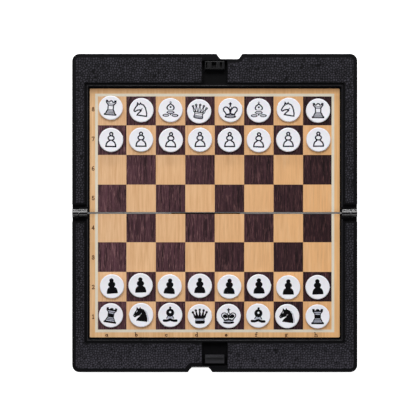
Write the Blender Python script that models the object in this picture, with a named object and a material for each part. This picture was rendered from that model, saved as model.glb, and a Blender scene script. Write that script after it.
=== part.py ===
"""A folding magnetic travel chess set, opened flat on a table, with its discs set up for a game.

Metres, +Z up. The origin is on the table under the middle of the seam. X runs along the seam,
+Y points to the far half (ranks 5 to 8) and Z = 0 is the table. Both halves are drawn in the far
half's place, and the near half is the same moulding turned half a turn about Z.
"""

import math

import bmesh
import bpy

MM = 0.001
HALF_TURN = math.pi

# Case
CASE_WIDTH = 170.0 * MM
HALF_LENGTH = 94.9 * MM
HALF_HEIGHT = 8.0 * MM
SEAM_HALF_GAP = 0.45 * MM
CORNER_RADIUS = 4.3 * MM
BOTTOM_ROUND = 1.2 * MM
TOP_ROUND = 0.25 * MM
BORDER_WIDTH = 2.1 * MM
BORDER_HEIGHT = 7.8 * MM
PANEL_HEIGHT = 7.93 * MM
PANEL_CHAMFER = 0.06 * MM
PANEL_DEPTH = 1.0 * MM
PANEL_MARGIN = 0.15 * MM
SKIN = 1.5 * MM
RIB = 1.2 * MM

# Well that holds the board, with a ledge half way down its wall
LEDGE_REACH = 77.5 * MM
LEDGE_HEIGHT = 6.6 * MM
WELL_REACH = 75.6 * MM
WELL_FLOOR = 4.1 * MM
WELL_CORNER = 1.2 * MM
CELL_REACH = 73.2 * MM
CELL_COLUMNS = 5
CELL_ROWS = 3

# Board, in two sheets for each half
BOARD_HALF_WIDTH = 74.6 * MM
BOARD_REACH = 74.25 * MM
BOARD_SEAM_EDGE = 0.55 * MM
STEEL_INSET = 0.4 * MM
STEEL_THICKNESS = 0.5 * MM
PRINT_THICKNESS = 0.4 * MM
STACK_GAP = 0.1 * MM
SQUARE_WIDTH = 17.58 * MM
SQUARE_LENGTH = 17.7 * MM
SQUARES_CUT = 0.5 * MM

# Finger notch in the outer edge of each half
NOTCH_FLAT = (4.2 * MM, 13.3 * MM)
NOTCH_DEPTH = 3.1 * MM
NEAR_NOTCH_DEPTH = 2.5 * MM
NOTCH_SLOPE = math.radians(55)
NOTCH_FILLET = 1.9 * MM
SCOOP_DEPTH = 0.9 * MM
SCOOP_DROP = 4.5 * MM

# Hinge: an outer knuckle at +X and an inner one at -X on each half
HINGE_HEIGHT = HALF_HEIGHT
KNUCKLE_RADIUS = 2.8 * MM
KNUCKLE_SIDES = 40
OUTER_KNUCKLE = (81.05 * MM, 84.8 * MM)
INNER_KNUCKLE = (-80.7 * MM, -75.8 * MM)
WEB_REACH = 3.0 * MM
WEB_TOP = 8.2 * MM
HINGE_POCKET_REACH = 5.1 * MM
HINGE_POCKET_FLOOR = 4.8 * MM
HINGE_POCKET_START = 75.3 * MM
PANEL_START = 5.9 * MM
PIN_RADIUS = 1.0 * MM
BORE_RADIUS = 1.07 * MM
PIN_SIDES = 20
PIN_SPAN = (76.3 * MM, 84.5 * MM)

# Tab that closes the middle of the seam, on the near half only
TAB_SPAN = (-15.0 * MM, 26.0 * MM)
TAB_EDGE = -0.15 * MM
TAB_TOP = 4.0 * MM

# Latch
LATCH_HALF_WIDTH = 7.5 * MM
LATCH_RECESS = (76.9 * MM, 91.0 * MM)
LATCH_FLOOR = 2.0 * MM
CATCH_HALF_WIDTH = 6.0 * MM
CATCH_SPAN = (85.5 * MM, 90.7 * MM)
CATCH_BOTTOM = 2.3 * MM
CATCH_TOP = 7.75 * MM
CATCH_ROUND = 0.5 * MM
CATCH_GROOVE_DEPTH = 0.6 * MM
CATCH_GROOVE = (4.3 * MM, 6.0 * MM)
CATCH_POCKETS = ((-5.3 * MM, -4.4 * MM), (-1.9 * MM, 0.8 * MM), (3.1 * MM, 4.4 * MM))
CATCH_POCKET_SPAN = (86.6 * MM, 90.0 * MM)
CATCH_POCKET_FLOOR = 4.0 * MM
TONGUE_HALF_WIDTH = 5.7 * MM
TONGUE_SPAN = (84.4 * MM, 89.7 * MM)
TONGUE_LEG = 1.1 * MM
TONGUE_BOTTOM = 2.3 * MM
TONGUE_HEAD = (5.7 * MM, 7.7 * MM)
HOOK_THICKNESS = 0.85 * MM
HOOK_TOP = 10.75 * MM
NOSE_BOTTOM = 10.2 * MM
NOSE_REACH = 0.7 * MM
TONGUE_PIVOT_HEIGHT = 2.5 * MM

# Discs
DISC_RADIUS = 7.2 * MM
DISC_THICKNESS = 2.0 * MM
DISC_CHAMFER = 0.3 * MM
DISC_SIDES = 24
MAGNET_POCKET_RADIUS = 4.6 * MM
MAGNET_POCKET_DEPTH = 1.1 * MM
MAGNET_POCKET_SIDES = 12

BOARD_TOP = WELL_FLOOR + STACK_GAP + STEEL_THICKNESS + STACK_GAP + PRINT_THICKNESS
DISC_BOTTOM = BOARD_TOP + STACK_GAP

FILES = "abcdefgh"
BACK_RANK = ("rook", "knight", "bishop", "queen", "king", "bishop", "knight", "rook")

# How far each disc lies from the middle of its square, right and up, in tenths of a millimetre,
# from file a to file h. A hand set them down, so no two lie alike.
SET_DOWN = {
    8: ((-5, 13), (2, -1), (0, -1), (-5, -8), (5, -1), (-1, -3), (2, 1), (1, -4)),
    7: ((-3, -2), (0, 0), (2, -3), (0, -1), (1, -2), (-1, -4), (-1, -1), (3, 0)),
    2: ((2, 0), (-3, 6), (-5, -1), (-1, 3), (-1, -2), (0, 0), (-1, -6), (-2, -5)),
    1: ((-4, 4), (1, 6), (-2, 6), (-1, -1), (-5, 0), (-4, 2), (-7, -1), (-2, -3)),
}
SET_DOWN_UNIT = 0.1 * MM


def clear_scene():
    for obj in list(bpy.data.objects):
        bpy.data.objects.remove(obj, do_unlink=True)


def finish(name, colour, roughness, metallic=0.0):
    """A plain material: plastic, or metal or printed card where its values say so."""
    material = bpy.data.materials.new(name)
    material.use_nodes = True
    shader = material.node_tree.nodes["Principled BSDF"]
    shader.inputs["Base Color"].default_value = (*colour, 1.0)
    shader.inputs["Roughness"].default_value = roughness
    shader.inputs["Metallic"].default_value = metallic
    return material


# ---------------------------------------------------------------- shapes


def arc(centre, radius, start, end, steps):
    """Points along an arc about the centre, from one angle to another, both in radians."""
    points = []
    for step in range(steps + 1):
        angle = start + (end - start) * step / steps
        points.append((centre[0] + radius * math.cos(angle), centre[1] + radius * math.sin(angle)))
    return points


def prism(outline, low, high):
    """A closed upright prism over an outline that runs counter-clockwise."""
    shape = bmesh.new()
    bottom = [shape.verts.new((x, y, low)) for x, y in outline]
    top = [shape.verts.new((x, y, high)) for x, y in outline]
    shape.faces.new(reversed(bottom))
    shape.faces.new(top)
    for index in range(len(outline)):
        following = (index + 1) % len(outline)
        shape.faces.new((bottom[index], bottom[following], top[following], top[index]))
    shape.normal_update()
    return shape


def rectangle(x_span, y_span):
    (left, right), (near, far) = x_span, y_span
    return [(left, near), (right, near), (right, far), (left, far)]


def far_rounded_rectangle(half_width, near, far, radius, steps=5):
    """A rectangle about the middle line, with its two far corners rounded."""
    outline = [(-half_width, near), (half_width, near)]
    outline += arc((half_width - radius, far - radius), radius, 0, math.pi / 2, steps)
    outline += arc((radius - half_width, far - radius), radius, math.pi / 2, math.pi, steps)
    return outline


def block(x_span, y_span, z_span):
    return prism(rectangle(x_span, y_span), *z_span)


def rod(x_span, radius, sides):
    """A round bar along X about the hinge axis."""
    ring = arc((0.0, HINGE_HEIGHT), radius, 0.0, 2 * math.pi * (sides - 1) / sides, sides - 1)
    return side_profile(ring, x_span)


def side_profile(outline, x_span):
    """A prism along X over an outline given as (y, z) points that run counter-clockwise."""
    shape = bmesh.new()
    left, right = ([shape.verts.new((x, y, z)) for y, z in outline] for x in x_span)
    shape.faces.new(reversed(left))
    shape.faces.new(right)
    for index in range(len(outline)):
        following = (index + 1) % len(outline)
        shape.faces.new((left[index], left[following], right[following], right[index]))
    shape.normal_update()
    return shape


def edges_at(shape, height, facing):
    """The edges round the flat faces that lie at a height and face up (1) or down (-1)."""
    found = set()
    for face in shape.faces:
        level = all(abs(vertex.co.z - height) < 0.01 * MM for vertex in face.verts)
        if level and face.normal.z * facing > 0.9:
            found.update(face.edges)
    return sorted(found, key=lambda edge: edge.index)


def round_edges(shape, edges, radius, segments):
    bmesh.ops.bevel(
        shape, geom=edges, offset=radius, segments=segments, profile=0.5, affect="EDGES"
    )


def as_object(name, shape, material=None):
    mesh = bpy.data.meshes.new(name)
    shape.to_mesh(mesh)
    shape.free()
    obj = bpy.data.objects.new(name, mesh)
    bpy.context.collection.objects.link(obj)
    if material:
        mesh.materials.append(material)
    mesh.shade_smooth()
    mesh.set_sharp_from_angle(angle=math.radians(32))
    return obj


def combine(obj, label, shapes, operation):
    """Adds one Boolean for a group of shapes, which are hidden from renders and move with obj."""
    group = bpy.data.collections.new(f"{obj.name}_{label}")
    bpy.context.scene.collection.children.link(group)
    for name, shape in shapes.items():
        operand = as_object(f"{obj.name}_{name}", shape)
        bpy.context.collection.objects.unlink(operand)
        group.objects.link(operand)
        operand.hide_render = True
        operand.display_type = "WIRE"
        operand.parent = obj
    obj.modifiers.new(f"{label}_facets", "TRIANGULATE")
    modifier = obj.modifiers.new(label, "BOOLEAN")
    modifier.operation = operation
    modifier.operand_type = "COLLECTION"
    modifier.collection = group


def cut(obj, label, shapes):
    combine(obj, label, shapes, "DIFFERENCE")


def add(obj, label, shapes):
    combine(obj, label, shapes, "UNION")


def place(obj, parent=None, at=(0.0, 0.0, 0.0), turn=0.0):
    obj.parent = parent
    obj.location = at
    obj.rotation_euler = (0.0, 0.0, turn)


def axis_empty(name, at, turn=0.0):
    empty = bpy.data.objects.new(name, None)
    bpy.context.collection.objects.link(empty)
    empty.empty_display_size = 0.01
    place(empty, at=at, turn=turn)
    return empty


# ---------------------------------------------------------------- case halves


def notch_side(flat_end, depth, outward, inset=0.0):
    """One side of the finger notch: a fillet off its flat, then a straight slope to the edge."""
    radius = NOTCH_FILLET + inset
    centre = (0.0, HALF_LENGTH - depth + NOTCH_FILLET)
    edge = HALF_LENGTH - inset
    points = [
        (flat_end + outward * x, y)
        for x, y in arc(centre, radius, -math.pi / 2, NOTCH_SLOPE - math.pi / 2, 4)
    ]
    last_x, last_y = points[-1]
    points.append((last_x + outward * (edge - last_y) / math.tan(NOTCH_SLOPE), edge))
    return points


def case_corner(side, inset=0.0):
    """The outer corner at +X (side 1) or -X (side -1), in counter-clockwise order."""
    centre = (side * (CASE_WIDTH / 2 - CORNER_RADIUS), HALF_LENGTH - CORNER_RADIUS)
    start = 0.0 if side > 0 else math.pi / 2
    return arc(centre, CORNER_RADIUS - inset, start, start + math.pi / 2, 6)


def half_block(notch_depth):
    """The solid outside of one half, with its lower edge and the edge of its rim rounded."""
    half_width = CASE_WIDTH / 2
    outline = [(-half_width, SEAM_HALF_GAP), (half_width, SEAM_HALF_GAP)]
    outline += case_corner(1)
    outline += reversed(notch_side(NOTCH_FLAT[1], notch_depth, 1))
    outline += notch_side(NOTCH_FLAT[0], notch_depth, -1)
    outline += case_corner(-1)
    shape = prism(outline, 0.0, BORDER_HEIGHT)
    round_edges(shape, edges_at(shape, 0.0, -1), BOTTOM_ROUND, 3)
    round_edges(shape, edges_at(shape, BORDER_HEIGHT, 1), TOP_ROUND, 2)
    return shape


def grained_panel(side, notch_depth):
    """The raised part of the rim from the hinge at one side round to the latch.

    Its leather grain, which fills what is left up to the height of the rim, isn't modelled here.
    """
    inner = LEDGE_REACH + PANEL_MARGIN
    outer = CASE_WIDTH / 2 - BORDER_WIDTH
    far = HALF_LENGTH - BORDER_WIDTH
    latch = LATCH_HALF_WIDTH + PANEL_MARGIN
    if side > 0:
        outline = [(inner, PANEL_START), (outer, PANEL_START)]
        outline += case_corner(1, BORDER_WIDTH)
        outline += reversed(notch_side(NOTCH_FLAT[1], notch_depth, 1, BORDER_WIDTH))
        outline += [(latch, outline[-1][1]), (latch, inner), (inner, inner)]
    else:
        outline = [(-outer, PANEL_START), (-inner, PANEL_START), (-inner, inner)]
        outline += [(-latch, inner), (-latch, far)]
        outline += case_corner(-1, BORDER_WIDTH)
    shape = prism(outline, PANEL_HEIGHT - PANEL_DEPTH, PANEL_HEIGHT)
    round_edges(shape, edges_at(shape, PANEL_HEIGHT, 1), PANEL_CHAMFER, 1)
    return shape


def rib_cells():
    """The hollows under the board, between the ribs that hold it up."""
    cells = bmesh.new()
    width = 2 * CELL_REACH / CELL_COLUMNS
    first = SEAM_HALF_GAP + SKIN
    depth = (CELL_REACH - first) / CELL_ROWS
    for column in range(CELL_COLUMNS):
        for row in range(CELL_ROWS):
            left = -CELL_REACH + column * width + RIB / 2
            near = first + row * depth + RIB / 2
            cell = block((left, left + width - RIB), (near, near + depth - RIB), (SKIN, HALF_HEIGHT))
            copied = bpy.data.meshes.new("cell")
            cell.to_mesh(copied)
            cell.free()
            cells.from_mesh(copied)
            bpy.data.meshes.remove(copied)
    return cells


def hinge_pocket(side):
    inner, outer = HINGE_POCKET_START, CASE_WIDTH
    span = (inner, outer) if side > 0 else (-outer, -inner)
    return block(span, (-HINGE_POCKET_REACH, HINGE_POCKET_REACH), (HINGE_POCKET_FLOOR, CASE_WIDTH))


def knuckle_web(span):
    """The foot that ties a knuckle to the floor of its pocket, clear of the other half's edge."""
    foot = HINGE_POCKET_FLOOR - SKIN
    return block(span, (SEAM_HALF_GAP + STACK_GAP, WEB_REACH), (foot, WEB_TOP))


def scoop(depth):
    """The sloped face that leads a fingertip into the near half's notch."""
    edge = HALF_LENGTH - depth
    beyond = HALF_LENGTH + SCOOP_DROP
    above = HALF_HEIGHT + SKIN
    low = HALF_HEIGHT - SCOOP_DROP
    steep = SCOOP_DEPTH / SCOOP_DROP
    profile = [
        (edge, low),
        (beyond, low),
        (beyond, above),
        (edge - steep * (above - low), above),
    ]
    return side_profile(profile, (NOTCH_FLAT[0] - SKIN / 2, NOTCH_FLAT[1] + SKIN / 2))


def half_shell(name, material, notch_depth, panel_notch_depth):
    shell = as_object(name, half_block(notch_depth), material)
    above = 2 * HALF_HEIGHT
    across_seam = -CORNER_RADIUS
    ledge = far_rounded_rectangle(LEDGE_REACH, across_seam, LEDGE_REACH, WELL_CORNER)
    well = far_rounded_rectangle(WELL_REACH, across_seam, WELL_REACH, WELL_CORNER)
    recess = rectangle((-LATCH_HALF_WIDTH, LATCH_HALF_WIDTH), LATCH_RECESS)
    hollows = {
        "ledge": prism(ledge, LEDGE_HEIGHT, above),
        "well": prism(well, WELL_FLOOR, above),
        "cells": rib_cells(),
        "latch_recess": prism(recess, LATCH_FLOOR, above),
        "left_hinge_pocket": hinge_pocket(-1),
        "right_hinge_pocket": hinge_pocket(1),
    }
    cut(shell, "hollows", hollows)
    raised = {
        "left_panel": grained_panel(-1, panel_notch_depth),
        "right_panel": grained_panel(1, panel_notch_depth),
        "outer_web": knuckle_web(OUTER_KNUCKLE),
        "inner_web": knuckle_web(INNER_KNUCKLE),
        "outer_knuckle": rod(OUTER_KNUCKLE, KNUCKLE_RADIUS, KNUCKLE_SIDES),
        "inner_knuckle": rod(INNER_KNUCKLE, KNUCKLE_RADIUS, KNUCKLE_SIDES),
    }
    add(shell, "raised", raised)
    cut(shell, "bore", {"pin_bore": rod((-CASE_WIDTH, CASE_WIDTH), BORE_RADIUS, PIN_SIDES)})
    return shell


# ---------------------------------------------------------------- board, pins and latch


def board_sheet(name, material, inset, bottom, thickness):
    half_width = BOARD_HALF_WIDTH - inset
    near, far = BOARD_SEAM_EDGE + inset, BOARD_REACH - inset
    outline = far_rounded_rectangle(half_width, near, far, WELL_CORNER / 2)
    return as_object(name, prism(outline, bottom, bottom + thickness), material)


def hinge_pin(name, material, side):
    span = PIN_SPAN if side > 0 else (-PIN_SPAN[1], -PIN_SPAN[0])
    shape = rod(span, PIN_RADIUS, PIN_SIDES)
    rims = [edge for edge in shape.edges if abs(edge.verts[0].co.x - edge.verts[1].co.x) < 0.01 * MM]
    round_edges(shape, rims, PIN_RADIUS / 5, 1)
    return as_object(name, shape, material)


def catch_block(material):
    """The fixed half of the latch: a block with three cored pockets and a groove for the nose."""
    width = (-CATCH_HALF_WIDTH, CATCH_HALF_WIDTH)
    shape = block(width, CATCH_SPAN, (CATCH_BOTTOM, CATCH_TOP))
    round_edges(shape, edges_at(shape, CATCH_TOP, 1), CATCH_ROUND, 3)
    catch = as_object("latch_catch", shape, material)
    inner = CATCH_SPAN[0]
    groove = (inner - SKIN, inner + CATCH_GROOVE_DEPTH)
    hollows = {"groove": block((-CASE_WIDTH, CASE_WIDTH), groove, CATCH_GROOVE)}
    for number, span in enumerate(CATCH_POCKETS, 1):
        pocket = block(span, CATCH_POCKET_SPAN, (CATCH_POCKET_FLOOR, 2 * HALF_HEIGHT))
        hollows[f"pocket_{number}"] = pocket
    cut(catch, "hollows", hollows)
    return catch


def tongue(material):
    """The sprung half of the latch: a leg, a flat head and a hook that stands above the rim."""
    inner, outer = TONGUE_SPAN
    head_low, head_high = TONGUE_HEAD
    hook = inner + HOOK_THICKNESS
    nose = hook + NOSE_REACH
    profile = [
        (outer - TONGUE_LEG, TONGUE_BOTTOM),
        (outer, TONGUE_BOTTOM),
        (outer, head_high - TONGUE_LEG / 4),
        (outer - TONGUE_LEG / 4, head_high),
        (hook, head_high),
        (hook, NOSE_BOTTOM),
        (nose, NOSE_BOTTOM),
        (hook, HOOK_TOP),
        (inner, HOOK_TOP),
        (inner, head_low),
        (outer - TONGUE_LEG, head_low),
    ]
    shape = side_profile(profile, (-TONGUE_HALF_WIDTH, TONGUE_HALF_WIDTH))
    return as_object("latch_tongue", shape, material)


# ---------------------------------------------------------------- discs


def disc_mesh(material):
    """One playing disc: a chamfered top edge, and a round pocket below for its magnet."""
    profile = [
        (MAGNET_POCKET_RADIUS, MAGNET_POCKET_DEPTH, MAGNET_POCKET_SIDES),
        (MAGNET_POCKET_RADIUS, 0.0, MAGNET_POCKET_SIDES),
        (DISC_RADIUS, 0.0, DISC_SIDES),
        (DISC_RADIUS, DISC_THICKNESS - DISC_CHAMFER, DISC_SIDES),
        (DISC_RADIUS - DISC_CHAMFER, DISC_THICKNESS, DISC_SIDES),
    ]
    shape = bmesh.new()
    rings = []
    for radius, height, sides in profile:
        corners = arc((0.0, 0.0), radius, 0.0, 2 * math.pi * (sides - 1) / sides, sides - 1)
        rings.append([shape.verts.new((x, y, height)) for x, y in corners])
    for ring in rings:
        for index, vertex in enumerate(ring):
            shape.edges.new((vertex, ring[(index + 1) % len(ring)]))
    for lower, upper in zip(rings, rings[1:]):
        ends = (set(lower), set(upper))
        loops = [edge for edge in shape.edges if any(set(edge.verts) <= end for end in ends)]
        bmesh.ops.bridge_loops(shape, edges=loops)
    shape.faces.new(rings[0])
    shape.faces.new(rings[-1])
    bmesh.ops.recalc_face_normals(shape, faces=shape.faces)
    template = as_object("disc_template", shape, material)
    mesh = template.data
    bpy.data.objects.remove(template)
    return mesh


def square_centre(file_index, rank):
    """The middle of a square. The print is cut at the seam, a little into the ranks beside it."""
    x = (file_index - 3.5) * SQUARE_WIDTH
    from_seam = rank - 4.5
    y = from_seam * SQUARE_LENGTH - math.copysign(SQUARES_CUT, from_seam)
    return x, y


def place_disc(mesh, name, file_index, rank, parent):
    x, y = square_centre(file_index, rank)
    right, up = SET_DOWN[rank][file_index]
    disc = bpy.data.objects.new(name, mesh)
    bpy.context.collection.objects.link(disc)
    height = DISC_BOTTOM - (parent.location.z if parent else 0.0)
    place(disc, parent, (x + right * SET_DOWN_UNIT, y + up * SET_DOWN_UNIT, height))


def place_army(mesh, colour, back_rank, pawn_rank, parent):
    for file_index, letter in enumerate(FILES):
        piece = BACK_RANK[file_index]
        place_disc(mesh, f"{colour}_{piece}_{letter}", file_index, back_rank, parent)
        place_disc(mesh, f"{colour}_pawn_{letter}", file_index, pawn_rank, parent)


# ---------------------------------------------------------------- assembly


def board_sheets(half):
    steel = finish(f"{half}_sheet_steel", (0.55, 0.56, 0.58), 0.35, 1.0)
    paper = finish(f"{half}_printed_sheet", (0.72, 0.45, 0.24), 0.45)
    steel_bottom = WELL_FLOOR + STACK_GAP
    print_bottom = steel_bottom + STEEL_THICKNESS + STACK_GAP
    return [
        board_sheet(f"{half}_steel_sheet", steel, STEEL_INSET, steel_bottom, STEEL_THICKNESS),
        board_sheet(f"{half}_board_print", paper, 0.0, print_bottom, PRINT_THICKNESS),
    ]


def build_near_half():
    black = finish("near_case_plastic", (0.02, 0.02, 0.022), 0.5)
    scooped = NEAR_NOTCH_DEPTH + SCOOP_DEPTH
    shell = half_shell("near_half_shell", black, NEAR_NOTCH_DEPTH, scooped)
    cut(shell, "scooped", {"scoop": scoop(NEAR_NOTCH_DEPTH)})
    tab = block(TAB_SPAN, (TAB_EDGE, SEAM_HALF_GAP + SKIN / 2), (SKIN, TAB_TOP))
    add(shell, "seam", {"tab": tab})
    for obj in (shell, *board_sheets("near")):
        place(obj, turn=HALF_TURN)
    steel = finish("pin_steel", (0.6, 0.6, 0.62), 0.3, 1.0)
    hinge_pin("left_hinge_pin", steel, -1)
    hinge_pin("right_hinge_pin", steel, 1)


def build_far_half(fold_axis):
    black = finish("far_case_plastic", (0.02, 0.02, 0.022), 0.5)
    shell = half_shell("far_half_shell", black, NOTCH_DEPTH, NOTCH_DEPTH)
    catch = catch_block(finish("catch_plastic", (0.025, 0.025, 0.028), 0.4))
    for obj in (shell, *board_sheets("far"), catch):
        place(obj, fold_axis, (0.0, 0.0, -HINGE_HEIGHT))


def build_tongue():
    pivot_reach = TONGUE_SPAN[1] - TONGUE_LEG / 2
    pivot = axis_empty("latch_pivot", (0.0, -pivot_reach, TONGUE_PIVOT_HEIGHT), HALF_TURN)
    sprung = tongue(finish("tongue_plastic", (0.025, 0.025, 0.028), 0.4))
    place(sprung, pivot, (0.0, -pivot_reach, -TONGUE_PIVOT_HEIGHT))


def main():
    clear_scene()
    bpy.context.scene.unit_settings.scale_length = 1.0
    fold_axis = axis_empty("fold_axis", (0.0, 0.0, HINGE_HEIGHT))
    build_near_half()
    build_far_half(fold_axis)
    build_tongue()
    discs = disc_mesh(finish("disc_plastic", (0.82, 0.82, 0.86), 0.35))
    place_army(discs, "white", 8, 7, fold_axis)
    place_army(discs, "black", 1, 2, None)


main()
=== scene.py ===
"""The looks of a folding magnetic travel chess set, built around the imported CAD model."""

import math

import bmesh
import bpy
import numpy as np
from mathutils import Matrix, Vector


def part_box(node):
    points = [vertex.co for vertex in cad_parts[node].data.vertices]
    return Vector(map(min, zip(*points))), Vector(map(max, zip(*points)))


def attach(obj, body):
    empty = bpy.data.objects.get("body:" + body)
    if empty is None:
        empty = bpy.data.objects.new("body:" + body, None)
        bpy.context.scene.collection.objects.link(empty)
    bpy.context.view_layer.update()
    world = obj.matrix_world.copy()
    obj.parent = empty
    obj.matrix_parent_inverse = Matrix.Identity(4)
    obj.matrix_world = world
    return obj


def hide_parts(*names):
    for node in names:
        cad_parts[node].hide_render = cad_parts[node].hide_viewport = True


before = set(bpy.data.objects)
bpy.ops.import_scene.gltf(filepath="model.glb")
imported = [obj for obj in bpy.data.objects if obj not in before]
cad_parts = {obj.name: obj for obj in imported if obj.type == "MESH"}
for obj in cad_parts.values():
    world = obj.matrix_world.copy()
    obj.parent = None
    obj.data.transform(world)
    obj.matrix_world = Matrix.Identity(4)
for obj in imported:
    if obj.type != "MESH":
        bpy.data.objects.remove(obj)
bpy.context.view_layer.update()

MM = 0.001
FILES = "abcdefgh"
BACK_RANK = ("rook", "knight", "bishop", "queen", "king", "bishop", "knight", "rook")

# The printed board, in millimetres. Its two halves are cut short by different amounts at the seam.
SQUARE_WIDTH = 17.58
SQUARE_LENGTH = 17.7
FAR_SQUARES_CUT = 0.74
NEAR_SQUARES_CUT = 0.23
PLAY_HALF_WIDTH = 69.75
PLAY_REACH = 69.6
PALE_LINE = 1.65
PAPER_CORE = 0.05
BOARD_EDGE = 75.0
FAR_SHADOW = (70.8, 74.3)
FIGURE_STEP = 31.7

# Rank and file labels, in millimetres
LABEL_THICKNESS = 0.02
LABEL_STROKE = 0.46
LABEL_REACH = (1.5, 2.2)
LABEL_PITCH = 0.07
LETTER_SIZE = 1.35
NUMBER_SIZE = 1.15
LETTER_START = -64.6
LETTER_SPACING = 17.87
LETTER_LINE = -72.9
NUMBER_LINE = -72.6

# The case, in millimetres, as drawn for the far half. The near half is the same turned round.
LEDGE_REACH = 77.5
LEDGE_HEIGHT = 6.6
BEAD_REACH = 75.95
BEAD_START = 3.6
BEAD_SECTION = ((-0.22, -0.02), (-0.12, 0.12), (0.0, 0.16), (0.12, 0.12), (0.22, -0.02))
BARREL_REACH = 3.1
BARREL_FOOT = 8.05
PANEL_MARGIN = 0.15
BORDER_WIDTH = 2.1
CASE_HALF_WIDTH = 85.0
HALF_LENGTH = 94.9
CORNER_RADIUS = 4.3
PANEL_START = 5.9
LATCH_HALF_WIDTH = 7.5
NOTCH_FLAT = (4.2, 13.3)
NOTCH_SLOPE = math.radians(55)
NOTCH_FILLET = 1.9
FAR_NOTCH_DEPTH = 3.1
NEAR_NOTCH_DEPTH = 3.4

# Leather grain on the rim, in millimetres
GRAIN_FOOT = 7.9
GRAIN_TOP = 8.0
GRAIN_DEPTH = 0.085
GRAIN_PITCH = 0.3
PEBBLE = 1.45
GRAIN_EDGE = 0.3
CREASE_SHARE = 0.42
GRAIN_SEEDS = {"near": (12, 13), "far": (14, 15)}
# Painted light on the near rim: it grows paler by this much over this span of y, towards its outer edge.
NEAR_EDGE_PAINTED_LIGHT = 0.3
EDGE_PAINTED_LIGHT_SPAN = (76.0, 92.0)

# Discs, in millimetres
DISC_EDGE_ROUND = 0.5
DISC_SIDES = 96
DISC_DISH = 0.06
POCKET_RADIUS = 4.6
POCKET_DEPTH = 1.1
MAGNET_RADIUS = 4.45
MAGNET_THICKNESS = 0.95
MAGNET_CHAMFER = 0.15
MAGNET_SIDES = 48
NIB_REACH = 0.22
NIB_HALF_ANGLE = math.radians(5)
NIB_SEED = 5

# Printed symbols, in millimetres
INK_THICKNESS = 0.03
SHADE_THICKNESS = 0.7 * INK_THICKNESS
INK_SINK = 0.02
INK_GAP = 0.03
STROKE = 0.8
SYMBOL_PITCH = 0.1
SYMBOL_REACH = 5.6

# How far each printed symbol is turned, clockwise, in degrees, from file a to file h. The discs
# were set down by hand, so few stand quite straight.
SYMBOL_TURN = {
    8: (5, 7, 1, 9, 0, 0, 8, 0),
    7: (2, 0, 2, -1, 0, 2, 0, -1),
    2: (-4, -2, 4, 0, 2, -1, 0, -3),
    1: (9, 5, 0, -1, 0, 2, 6, 0),
}

# The studio, in metres and watts: each light's place, width, height and power.
# The fades, in millimetres along and away from the seam, end the painted shadow on the floor under the seam.
LIGHTS = {
    "back_softbox": ((-0.08, 0.85, 1.25), 0.9, 0.6, 13.4),
    "back_card": ((0.0, 1.6, 0.36), 2.0, 0.12, 20.0),
    "front_softbox": ((0.1, -1.0, 1.15), 0.8, 0.3, 2.5),
    "left_softbox": ((-1.2, 0.1, 0.9), 0.5, 0.9, 4.5),
    "right_softbox": ((1.2, 0.0, 0.9), 0.5, 0.9, 4.0),
}
SKY_STRENGTH = 0.12
FLOOR_HALF_WIDTH = 3.0
FLOOR_DROP = 0.0002
FLOOR_GLOW = 0.9
# How brightly the floor glows in its painted shadow under the seam.
SEAM_SHADOW_GLOW = 0.12
SEAM_SHADOW_FADES = ((78.0, 84.0), (2.0, 6.0))
CAMERA_AT = (-0.00402, 0.00298, 1.3)
VIEW_WIDTH = 0.24787
RIM_HEIGHT = 0.008


def rgb(red, green, blue):
    """A colour given as it looks on a screen, 0 to 255, in the linear values that shaders take."""
    linear = []
    for value in (red, green, blue):
        share = value / 255
        linear.append(share / 12.92 if share <= 0.04045 else ((share + 0.055) / 1.055) ** 2.4)
    return (*linear, 1.0)


# ---------------------------------------------------------------- materials


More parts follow.
